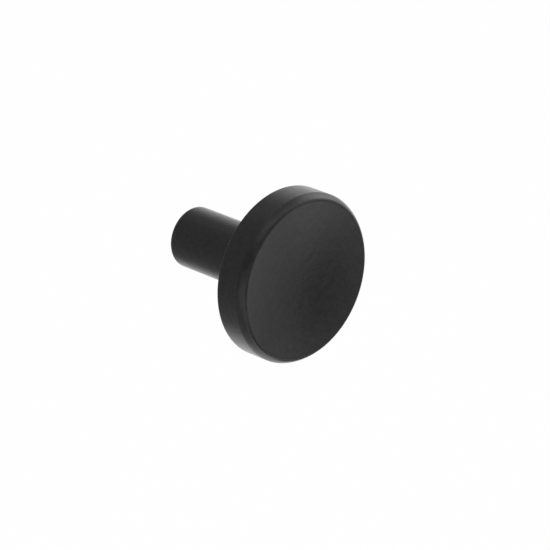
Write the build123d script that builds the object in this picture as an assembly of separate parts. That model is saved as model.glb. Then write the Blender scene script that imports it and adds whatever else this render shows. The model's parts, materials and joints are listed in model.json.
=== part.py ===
from build123d import *
import os
from math import radians, tan

# A round cabinet knob, cast and turned as one solid piece: a head with a dished face and a bevelled
# rim, on a plain round stem that is tapped for the fixing screw.
# Frame: as fixed on an upright door. The axis of the round form lies along Y, the dished face looks
# towards -Y, +Z is up, and the origin is the centre of the stem's base face.

# Driving dimensions, in millimetres and degrees

# Head
head_diameter = 34.0
head_thickness = 6.9
rim_height = 1.6          # along the axis, from the side wall's end to the plane of the face edge
rim_width = 1.1           # across the face, from the side wall in to the face edge
rim_crown = 0.15          # how far the bevel's section bulges from a straight line
dish_depth = 1.5          # at the middle of the face, below the plane of the face edge
face_edge_round = 0.7     # where the bevel turns into the dish
back_edge_break = 0.25    # small bevel where the side wall meets the back of the head

# Stem
stem_diameter = 12.3
stem_length = 25.0
base_edge_round = 0.8     # round the base face that sits on the door

# Hole for an M4 machine screw, drilled to the thread's minor diameter
tap_drill_diameter = 3.3
drill_depth = 14.0        # of the full diameter, from the base face
drill_point_angle = 118.0
mouth_diameter = 4.4      # of the countersink that leads the screw in
mouth_angle = 90.0

# Levels along the axis
head_back_y = -stem_length
face_edge_y = head_back_y - head_thickness
rim_start_y = face_edge_y + rim_height
dish_bottom_y = face_edge_y + dish_depth

# Radii
head_radius = head_diameter / 2
face_edge_radius = head_radius - rim_width
stem_radius = stem_diameter / 2


def corner(section, point):
    """The section's corner at this radius and level along the axis."""
    return section.vertices().sort_by_distance((*point, 0))[0]


def turned_body():
    """Half the section, drawn beside the axis with its corners softened, then turned about the axis."""
    base_centre = (0, 0)
    base_edge = (stem_radius, 0)
    stem_root = (stem_radius, head_back_y)
    back_edge = (head_radius, head_back_y)
    rim_start = (head_radius, rim_start_y)
    face_edge = (face_edge_radius, face_edge_y)
    dish_bottom = (0, dish_bottom_y)
    with BuildPart() as body:
        with BuildSketch(Plane.XY) as section:
            with BuildLine():
                Polyline(dish_bottom, base_centre, base_edge, stem_root, back_edge, rim_start)
                SagittaArc(rim_start, face_edge, rim_crown)
                TangentArc(dish_bottom, face_edge, tangent=(1, 0))
            make_face()
            fillet(corner(section, base_edge), base_edge_round)
            chamfer(corner(section, back_edge), back_edge_break)
            fillet(corner(section, face_edge), face_edge_round)
        revolve(axis=Axis.Y)
    return body.part


def screw_hole():
    """The drilled space: a countersunk mouth, the straight wall that is tapped and the drill's point."""
    mouth_radius = mouth_diameter / 2
    wall_radius = tap_drill_diameter / 2
    mouth_depth = (mouth_radius - wall_radius) / tan(radians(mouth_angle / 2))
    point_length = wall_radius / tan(radians(drill_point_angle / 2))
    with BuildPart() as hole:
        with BuildSketch(Plane.XY):
            with BuildLine():
                Polyline(
                    (0, 0),
                    (mouth_radius, 0),
                    (wall_radius, -mouth_depth),
                    (wall_radius, -drill_depth),
                    (0, -drill_depth - point_length),
                    close=True,
                )
            make_face()
        revolve(axis=Axis.Y)
    return hole.part


knob = turned_body() - screw_hole()

os.makedirs("parts", exist_ok=True)
export_step(knob, "parts/knob.step")
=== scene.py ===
"""A round cabinet knob, powder coated in matt black, shown as it stands out from an upright door."""

import json
import math

import bpy
import numpy as np
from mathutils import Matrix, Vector


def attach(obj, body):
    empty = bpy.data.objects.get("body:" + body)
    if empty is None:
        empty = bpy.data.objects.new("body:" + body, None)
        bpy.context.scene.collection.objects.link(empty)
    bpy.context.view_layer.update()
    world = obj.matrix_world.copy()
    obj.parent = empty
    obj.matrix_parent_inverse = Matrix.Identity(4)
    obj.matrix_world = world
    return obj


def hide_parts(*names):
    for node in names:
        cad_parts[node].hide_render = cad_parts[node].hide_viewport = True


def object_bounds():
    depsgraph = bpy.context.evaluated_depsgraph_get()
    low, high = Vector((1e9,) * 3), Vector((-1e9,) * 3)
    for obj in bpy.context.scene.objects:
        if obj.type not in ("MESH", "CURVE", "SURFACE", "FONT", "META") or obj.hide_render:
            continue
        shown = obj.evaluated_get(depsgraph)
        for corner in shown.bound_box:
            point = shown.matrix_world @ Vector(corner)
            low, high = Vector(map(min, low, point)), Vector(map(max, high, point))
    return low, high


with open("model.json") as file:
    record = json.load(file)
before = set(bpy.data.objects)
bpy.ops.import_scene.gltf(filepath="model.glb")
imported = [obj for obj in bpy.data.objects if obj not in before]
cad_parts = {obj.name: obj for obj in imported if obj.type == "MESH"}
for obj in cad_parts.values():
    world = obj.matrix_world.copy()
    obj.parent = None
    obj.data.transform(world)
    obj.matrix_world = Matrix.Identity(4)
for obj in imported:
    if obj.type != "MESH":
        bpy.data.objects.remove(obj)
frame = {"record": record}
cad_low, cad_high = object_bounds()

MM = 0.001
WHITE = "#ffffff"

# Section of the knob, in millimetres and degrees: the radius runs outwards, the level along Y
head_radius = (cad_high.x - cad_low.x) / 2 / MM
head_thickness = 6.9
rim_height = 1.6
rim_width = 1.1
rim_crown = 0.15
dish_depth = 1.5
face_edge_round = 0.7
stem_radius = 6.15
stem_length = 25.0
base_edge_round = 0.8

# The coat softens the turned corners and gathers a little where the stem meets the head
rim_start_round = 0.3
back_edge_round = 0.3
root_round = 0.3

# Tapped hole for an M4 screw
screw_hole = next(m for m in frame["record"]["mounts"] if m["name"] == "screw_hole")
drill_radius = screw_hole["dims"]["r_mm"]
drill_depth = 14.0
drill_point_angle = 118.0
mouth_radius = 2.2
thread_pitch = 0.7
thread_depth = 0.35
thread_length = 11.5
groove_flat = 0.125         # share of the pitch that is flat at the bottom of the groove
crest_flat = 0.25           # share of the pitch that is flat at the drilled wall

# Levels along the axis
head_back_y = -stem_length
face_edge_y = head_back_y - head_thickness
rim_start_y = face_edge_y + rim_height
dish_bottom_y = face_edge_y + dish_depth

# How finely the surface is drawn
columns = 180
column_turn = np.arange(columns) * 2 * np.pi / columns      # angle about the axis, from +X towards +Z
arc_rows = 10
dish_rows = 56
straight_step = 1.0         # millimetres between rows, at most
same_place = 1e-6           # points nearer to each other than this are one
rows_per_pitch = 14
crease_angle = 35.0

# Finish of the coat and of the tapped metal
noise_mean = 0.5
coat_colour = "#090909"
coat_speck_colour = "#171717"
coat_roughness = 0.22
coat_roughness_spread = 0.05
coat_ior = 1.5
coat_grain = 0.8            # millimetres; the powder's grains are finer, too fine to show, so drawn coarser
coat_grain_detail = 0.5     # octaves of finer noise
coat_grain_edge = 0.25      # how far the noise has to go from its mean to be all grain or all gap
coat_grain_depth = 0.008
coat_peel = 1.8             # millimetres, the long soft waves of a coat that has flowed out
coat_peel_detail = 1.0
coat_peel_depth = 0.03
zinc_colour = "#b4b5b7"
zinc_roughness = 0.32
zinc_roughness_spread = 0.08
tool_mark = 0.12            # millimetres between the tap's marks
tool_mark_depth = 0.002
across_marks = 0.05         # scale of the marks across the axis: small, so that they run round it as rings

# Camera: a long lens, at the photograph's angle
camera_azimuth = -44.22
camera_elevation = 22.28
camera_lens = 248.19        # on a sensor 36 mm wide
camera_distance = 723.4     # millimetres, to the middle of the face's edge
face_right_of_centre = 5.98     # millimetres in the picture, from its centre
face_below_centre = 1.02

# Studio
floor_drop = 900.0          # millimetres, about as far as a cabinet's knob is above the floor
floor_size = 16000.0
floor_colour = "#f8f8f8"
floor_glow = 0.97           # share of the floor's white that no shadow reaches
white_level = 1.0
fill_level = 0.8            # the world's light on matt surfaces
lamp_azimuth = 80.0         # on the right
lamp_elevation = 30.0
lamp_distance = 900.0
lamp_size = 700.0
lamp_power = 1.6            # watts
tent_radius = 850.0
tent_rows = 60

# Soft bright areas of the white tent: azimuth and elevation of the middle, half angle, the share of that
# angle that is fully bright, and how many times the white is added there
tent_glows = {
    "lamp": (lamp_azimuth, lamp_elevation, 35, 0.0, 1.5),
    "lit_table": (0, -90, 45, 0.3, 0.5),
}

# Soft grey areas of it, the later ones over the earlier: the same, with the grey at the end
tent_greys = {
    "room_behind": (215, 15, 80, 0.7, "#aaaaaa"),
    "open_front": (-5, 10, 50, 0.5, "#b8b8b8"),
    "beside_camera": (300, 25, 45, 0.1, "#989898"),
    "table_left": (270, -50, 50, 0.3, "#c0c0c0"),
    "table_front": (10, -45, 22, 0.4, "#808080"),
    "table_right": (82, -50, 26, 0.6, "#909090"),
    "roof": (140, 80, 40, 0.4, "#d4d4d4"),
    "right_side": (60, -20, 15, 0.8, "#d0d0d0"),
    "gap_in_front": (36, -18, 18, 0.0, "#808080"),
}


def arc(centre, radius, start, end, rows):
    """Points of a circle about centre, from the angle start to the angle end in degrees, in even steps."""
    angle = np.radians(np.linspace(start, end, rows + 1))
    return np.column_stack([centre[0] + radius * np.cos(angle), centre[1] + radius * np.sin(angle)])


def angle_of(point, centre):
    """Direction from a circle's centre to a point, in degrees."""
    return math.degrees(math.atan2(point[1] - centre[1], point[0] - centre[0]))


def circle_through(start, end, crown):
    """Centre and radius of the circle through two points whose arc stands crown off their chord.

    radius = chord² / 8 crown + crown / 2; the centre lies behind the chord by radius - crown.
    """
    start, end = np.array(start), np.array(end)
    chord = np.linalg.norm(end - start)
    radius = chord**2 / (8 * crown) + crown / 2
    along = (end - start) / chord
    outwards = np.array([-along[1], along[0]])
    return (start + end) / 2 - outwards * (radius - crown), radius


def crossing(centre_a, radius_a, centre_b, radius_b):
    """The outer one of two circles' crossings, by the law of cosines along the line of their centres."""
    centre_a, centre_b = np.array(centre_a), np.array(centre_b)
    apart = np.linalg.norm(centre_b - centre_a)
    along = (centre_b - centre_a) / apart
    reach = (apart**2 + radius_a**2 - radius_b**2) / (2 * apart)
    aside = math.sqrt(radius_a**2 - reach**2)
    foot = centre_a + along * reach
    across = np.array([-along[1], along[0]]) * aside
    return max(foot + across, foot - across, key=lambda point: point[0])


def joined(pieces):
    """One run of points from arcs and corners, with rows about straight_step apart on straight stretches."""
    points = np.vstack(pieces)
    steps = np.linalg.norm(np.diff(points, axis=0), axis=1)
    points = points[np.r_[True, steps > same_place]]
    steps = np.linalg.norm(np.diff(points, axis=0), axis=1)
    place = np.r_[0, np.cumsum(steps)]
    counts = np.maximum(1, np.ceil(steps / straight_step)).astype(int)
    rows = np.r_[0, np.cumsum(np.repeat(steps / counts, counts))]
    return np.column_stack([np.interp(rows, place, points[:, 0]), np.interp(rows, place, points[:, 1])])


def body_section():
    """Radius and level from the middle of the dish, round the rim, along wall and stem, to the hole's mouth.

    The dish is a shallow circle, the rim a crowned bevel, and each corner is an arc that touches both its
    sides: its centre lies its own radius inside each of them.
    """
    face_edge_radius = head_radius - rim_width
    dish_radius = (face_edge_radius**2 + dish_depth**2) / (2 * dish_depth)
    dish_centre = (0, dish_bottom_y - dish_radius)
    rim_start, face_edge = (head_radius, rim_start_y), (face_edge_radius, face_edge_y)
    rim_centre, rim_radius = circle_through(rim_start, face_edge, rim_crown)
    face_round = crossing(
        dish_centre, dish_radius + face_edge_round, rim_centre, rim_radius - face_edge_round
    )
    start_x = head_radius - rim_start_round
    start_rise = math.sqrt((rim_radius - rim_start_round) ** 2 - (start_x - rim_centre[0]) ** 2)
    start_round = (start_x, rim_centre[1] - start_rise)
    dish_end = angle_of(face_round, dish_centre)
    face_turn = angle_of(face_round, rim_centre)
    start_turn = angle_of(start_round, rim_centre)
    return joined([
        arc(dish_centre, dish_radius, 90, dish_end, dish_rows),
        arc(face_round, face_edge_round, dish_end - 180, face_turn, arc_rows),
        arc(rim_centre, rim_radius, face_turn, start_turn, arc_rows),
        arc(start_round, rim_start_round, start_turn, 0, arc_rows),
        arc((head_radius - back_edge_round, head_back_y - back_edge_round), back_edge_round, 0, 90, arc_rows),
        arc((stem_radius + root_round, head_back_y + root_round), root_round, 270, 180, arc_rows),
        arc((stem_radius - base_edge_round, -base_edge_round), base_edge_round, 0, 90, arc_rows),
        [(mouth_radius, 0)],
    ])


def tapped_hole():
    """Radius, by row and column, and level, by row, of the hole from its mouth to the drilled wall's end.

    radius = the larger of the mouth's cone, which narrows one for one with depth, and the drilled wall plus
    the thread's depth times its tooth. The tooth depends on depth / pitch - turn, which is the same along a
    right-hand helix: flat at the crest, flat at the groove and straight between. It dies out over a pitch.
    """
    rows = math.ceil(drill_depth / thread_pitch * rows_per_pitch)
    depth = np.linspace(0, drill_depth, rows + 1)[1:, None]
    from_groove = np.abs(2 * ((depth / thread_pitch - column_turn / (2 * np.pi)) % 1) - 1)
    tooth = np.clip((1 - crest_flat - from_groove) / (1 - crest_flat - groove_flat), 0, 1)
    run_out = np.clip((thread_length - depth) / thread_pitch, 0, 1)
    radius = np.maximum(mouth_radius - depth, drill_radius + thread_depth * run_out * tooth)
    return radius, -depth[:, 0]


def turned_mesh(name, radius, level, start_level, end_level):
    """A closed mesh from rows of radius and level turned about Y, with a point on the axis at each end.

    x = radius cos turn, y = level, z = radius sin turn. Each face runs along its row, then round, so that
    its normal points outwards.
    """
    rows = len(level)
    x, z = radius * np.cos(column_turn), radius * np.sin(column_turn)
    grid = np.stack([x, level[:, None] + 0 * radius, z], axis=-1)
    poles = [(0, start_level, 0), (0, end_level, 0)]
    points = np.vstack([grid.reshape(-1, 3), poles]) * MM
    index = np.arange(rows * columns).reshape(rows, columns)
    beside = np.roll(index, -1, axis=1)
    quads = np.stack([index[:-1], index[1:], beside[1:], beside[:-1]], axis=-1).reshape(-1, 4)
    start_pole = np.full(columns, rows * columns)
    start_fan = np.stack([start_pole, index[0], beside[0]], axis=-1)
    end_fan = np.stack([index[-1], start_pole + 1, beside[-1]], axis=-1)
    mesh = bpy.data.meshes.new(name)
    mesh.from_pydata(points, [], [*quads.tolist(), *start_fan.tolist(), *end_fan.tolist()])
    mesh.shade_smooth()
    mesh.set_sharp_from_angle(angle=math.radians(crease_angle))
    return mesh


def placed(name, data):
    """A new object in the scene, at the origin."""
    thing = bpy.data.objects.new(name, data)
    bpy.context.scene.collection.objects.link(thing)
    return thing


def linear(hex_colour):
    """An sRGB hex colour as linear red, green, blue and a full alpha, by the sRGB standard's own curve."""
    shares = np.array([int(hex_colour[i:i + 2], 16) for i in (1, 3, 5)]) / 255
    low, high = shares / 12.92, ((shares + 0.055) / 1.055) ** 2.4
    return (*np.where(shares <= 0.04045, low, high).tolist(), 1.0)


def add(tree, kind, inputs=(), **settings):
    """Adds a node: settings are its properties, and inputs gives each socket a value or a socket to link."""
    node = tree.nodes.new("ShaderNode" + kind)
    for setting, value in settings.items():
        setattr(node, setting, value)
    for socket, value in dict(inputs).items():
        if isinstance(value, bpy.types.NodeSocket):
            tree.links.new(value, node.inputs[socket])
        else:
            node.inputs[socket].default_value = value
    return node


def new_material(name):
    """An empty material and its node tree."""
    material = bpy.data.materials.new(name)
    material.use_nodes = True
    material.node_tree.nodes.clear()
    return material, material.node_tree


def matt_black_powder_coat():
    """Polyester powder, sprayed dry and baked: it flows into a closed skin that keeps a fine grain and long,
    soft waves. The eye gets a deep black with an even sheen, which turns bright only at a flat angle."""
    material, tree = new_material("matt_black_powder_coat")
    place = add(tree, "TexCoord").outputs["Object"]
    noise = add(tree, "TexNoise", {
        "Vector": place,
        "Scale": 1 / (coat_grain * MM),
        "Detail": coat_grain_detail,
    })
    grain = add(tree, "MapRange", {
        "Value": noise.outputs["Fac"],
        "From Min": noise_mean - coat_grain_edge,
        "From Max": noise_mean + coat_grain_edge,
    }).outputs["Result"]
    peel = add(tree, "TexNoise", {
        "Vector": place,
        "Scale": 1 / (coat_peel * MM),
        "Detail": coat_peel_detail,
    })
    grain_bump = add(tree, "Bump", {"Height": grain, "Distance": coat_grain_depth * MM})
    peel_bump = add(tree, "Bump", {
        "Height": peel.outputs["Fac"],
        "Distance": coat_peel_depth * MM,
        "Normal": grain_bump.outputs["Normal"],
    })
    colour = add(tree, "Mix", {
        "Factor": grain,
        "A": linear(coat_colour),
        "B": linear(coat_speck_colour),
    }, data_type="RGBA")
    roughness = add(tree, "MapRange", {
        "Value": peel.outputs["Fac"],
        "To Min": coat_roughness - coat_roughness_spread,
        "To Max": coat_roughness + coat_roughness_spread,
    })
    coat = add(tree, "BsdfPrincipled", {
        "Base Color": colour.outputs["Result"],
        "Roughness": roughness.outputs["Result"],
        "IOR": coat_ior,
        "Normal": peel_bump.outputs["Normal"],
    })
    add(tree, "OutputMaterial", {"Surface": coat.outputs["BSDF"]})
    return material


def tapped_zinc():
    """Bare die-cast zinc where the tap has cut through the coat: grey metal with fine rings from the tool."""
    material, tree = new_material("tapped_zinc")
    place = add(tree, "TexCoord").outputs["Object"]
    rings = add(tree, "Mapping", {"Vector": place, "Scale": (across_marks, 1.0, across_marks)})
    marks = add(tree, "TexNoise", {"Vector": rings.outputs["Vector"], "Scale": 1 / (tool_mark * MM)})
    bump = add(tree, "Bump", {"Height": marks.outputs["Fac"], "Distance": tool_mark_depth * MM})
    roughness = add(tree, "MapRange", {
        "Value": marks.outputs["Fac"],
        "To Min": zinc_roughness - zinc_roughness_spread,
        "To Max": zinc_roughness + zinc_roughness_spread,
    })
    zinc = add(tree, "BsdfPrincipled", {
        "Base Color": linear(zinc_colour),
        "Metallic": 1.0,
        "Roughness": roughness.outputs["Result"],
        "Normal": bump.outputs["Normal"],
    })
    add(tree, "OutputMaterial", {"Surface": zinc.outputs["BSDF"]})
    return material


def make_knob():
    """The whole knob as one closed surface: the coated outside, and the bare thread inside the hole."""
    section = body_section()
    hole_radius, hole_level = tapped_hole()
    outside = np.repeat(section[1:, :1], columns, axis=1)
    radius = np.vstack([outside, hole_radius])
    level = np.r_[section[1:, 1], hole_level]
    drill_point = drill_depth + drill_radius / math.tan(math.radians(drill_point_angle / 2))
    mesh = turned_mesh("knob_coated", radius, level, dish_bottom_y, -drill_point)
    mesh.materials.append(matt_black_powder_coat())
    mesh.materials.append(tapped_zinc())
    face_rows = np.repeat(np.arange(len(level) - 1), columns)
    in_hole = np.r_[face_rows >= len(outside) - 1, np.zeros(columns), np.ones(columns)]
    mesh.polygons.foreach_set("material_index", in_hole.astype(np.int32))
    knob = placed("knob_coated", mesh)
    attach(knob, "root")
    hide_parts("knob")


def direction(azimuth, elevation):
    """Unit vector from the knob, by degrees: azimuth 0 is straight in front of its face, 90 to its right."""
    a, e = math.radians(azimuth), math.radians(elevation)
    return Vector((math.sin(a) * math.cos(e), -math.cos(a) * math.cos(e), math.sin(e)))


def background_rays(tree):
    """1 for rays that show the background: from the camera, off a gloss and through glass; else 0."""
    path = add(tree, "LightPath").outputs
    seen = add(tree, "Math", {0: path["Is Camera Ray"], 1: path["Is Glossy Ray"]}, operation="MAXIMUM")
    through = add(tree, "Math", {0: seen.outputs[0], 1: path["Is Transmission Ray"]}, operation="MAXIMUM")
    return through.outputs[0]


def white_floor():
    """White paper, a level square: x and y are plus and minus half its size, and z is minus its drop.

    It is matt, so that it takes a shadow, and lifted to white where the background shows.
    """
    material, tree = new_material("white_paper")
    paper = add(tree, "BsdfDiffuse", {"Color": linear(floor_colour)})
    glow = add(tree, "Emission", {"Color": linear(WHITE), "Strength": white_level})
    shown = add(tree, "MixShader", {0: floor_glow, 1: paper.outputs[0], 2: glow.outputs[0]})
    surface = add(tree, "MixShader", {0: background_rays(tree), 1: paper.outputs[0], 2: shown.outputs[0]})
    add(tree, "OutputMaterial", {"Surface": surface.outputs[0]})
    corners = np.array([(-1, -1), (1, -1), (1, 1), (-1, 1)]) * floor_size / 2
    points = np.column_stack([corners, np.full(len(corners), -floor_drop)]) * MM
    mesh = bpy.data.meshes.new("floor")
    mesh.from_pydata(points, [], [(0, 1, 2, 3)])
    mesh.materials.append(material)
    floor = placed("floor", mesh)


def round_area(tree, towards, azimuth, elevation, half_angle, core):
    """A soft round area on the tent: 0 outside it and 1 in its core.

    It follows the angle between a point's direction and the area's middle, from the half angle to the core's.
    """
    middle = direction(azimuth, elevation)
    cosine = add(tree, "VectorMath", {0: towards, 1: middle}, operation="DOT_PRODUCT").outputs["Value"]
    off = add(tree, "Math", {0: cosine}, operation="ARCCOSINE").outputs["Value"]
    return add(tree, "MapRange", {
        "Value": off,
        "From Min": math.radians(half_angle),
        "From Max": math.radians(half_angle * core),
    }, interpolation_type="SMOOTHSTEP").outputs["Result"]


def tent_cloth():
    """White cloth that glows evenly, apart from soft grey areas, and brighter ones where the lamp shines
    through and at the lit table."""
    material, tree = new_material("white_tent_cloth")
    material.cycles.emission_sampling = "NONE"
    place = add(tree, "TexCoord").outputs["Object"]
    towards = add(tree, "VectorMath", {0: place}, operation="NORMALIZE").outputs["Vector"]
    shade = linear(WHITE)
    for *area, grey in tent_greys.values():
        share = round_area(tree, towards, *area)
        mixed = add(tree, "Mix", {"Factor": share, "A": shade, "B": linear(grey)}, data_type="RGBA")
        shade = mixed.outputs["Result"]
    level = white_level
    for *area, extra in tent_glows.values():
        share = round_area(tree, towards, *area)
        level = add(tree, "Math", {0: share, 1: extra, 2: level}, operation="MULTIPLY_ADD").outputs["Value"]
    glow = add(tree, "Emission", {"Color": shade, "Strength": level})
    add(tree, "OutputMaterial", {"Surface": glow.outputs[0]})
    return material


def light_tent():
    """The tent round the knob, a sphere: radius sin rise, level -radius cos rise. Only the gloss shows it."""
    rise = np.linspace(0, np.pi, tent_rows + 1)[1:-1]
    radius = np.repeat(tent_radius * np.sin(rise)[:, None], columns, axis=1)
    mesh = turned_mesh("light_tent", radius, -tent_radius * np.cos(rise), -tent_radius, tent_radius)
    mesh.materials.append(tent_cloth())
    tent = placed("light_tent", mesh)
    tent.visible_camera = False
    tent.visible_diffuse = False
    tent.visible_shadow = False


def white_world():
    """Even white all round, at full strength where it shows and a little lower as light on matt surfaces."""
    world = bpy.data.worlds.new("white_studio")
    bpy.context.scene.world = world
    world.use_nodes = True
    tree = world.node_tree
    tree.nodes.clear()
    shown = add(tree, "Background", {"Color": linear(WHITE), "Strength": white_level})
    fill = add(tree, "Background", {"Color": linear(WHITE), "Strength": fill_level})
    surface = add(tree, "MixShader", {0: background_rays(tree), 1: fill.outputs[0], 2: shown.outputs[0]})
    add(tree, "OutputWorld", {"Surface": surface.outputs[0]})


def soft_lamp():
    """One wide, soft lamp behind the tent's cloth, turned to the knob.

    The gloss doesn't show the lamp itself, only its bright area on the cloth.
    """
    light = bpy.data.lights.new("soft_lamp", "AREA")
    light.size = lamp_size * MM
    light.energy = lamp_power
    lamp = placed("soft_lamp", light)
    from_knob = direction(lamp_azimuth, lamp_elevation)
    lamp.location = from_knob * lamp_distance * MM
    lamp.rotation_euler = (-from_knob).to_track_quat("-Z", "Y").to_euler()
    lamp.visible_camera = False
    lamp.visible_glossy = False


def photograph_camera():
    """The camera stands back from the middle of the face's edge, moved aside so that this is off centre."""
    back = direction(camera_azimuth, camera_elevation)
    right = direction(camera_azimuth + 90, 0)
    up = back.cross(right)
    face_middle = Vector((0, face_edge_y * MM, 0))
    optics = bpy.data.cameras.new("camera")
    optics.lens = camera_lens
    camera = placed("camera", optics)
    camera.location = (
        face_middle
        + back * camera_distance * MM
        - right * face_right_of_centre * MM
        + up * face_below_centre * MM
    )
    camera.rotation_euler = (-back).to_track_quat("-Z", "Y").to_euler()
    bpy.context.scene.camera = camera


make_knob()
white_floor()
white_world()
soft_lamp()
light_tent()
photograph_camera()
bpy.context.scene.view_settings.view_transform = "Standard"
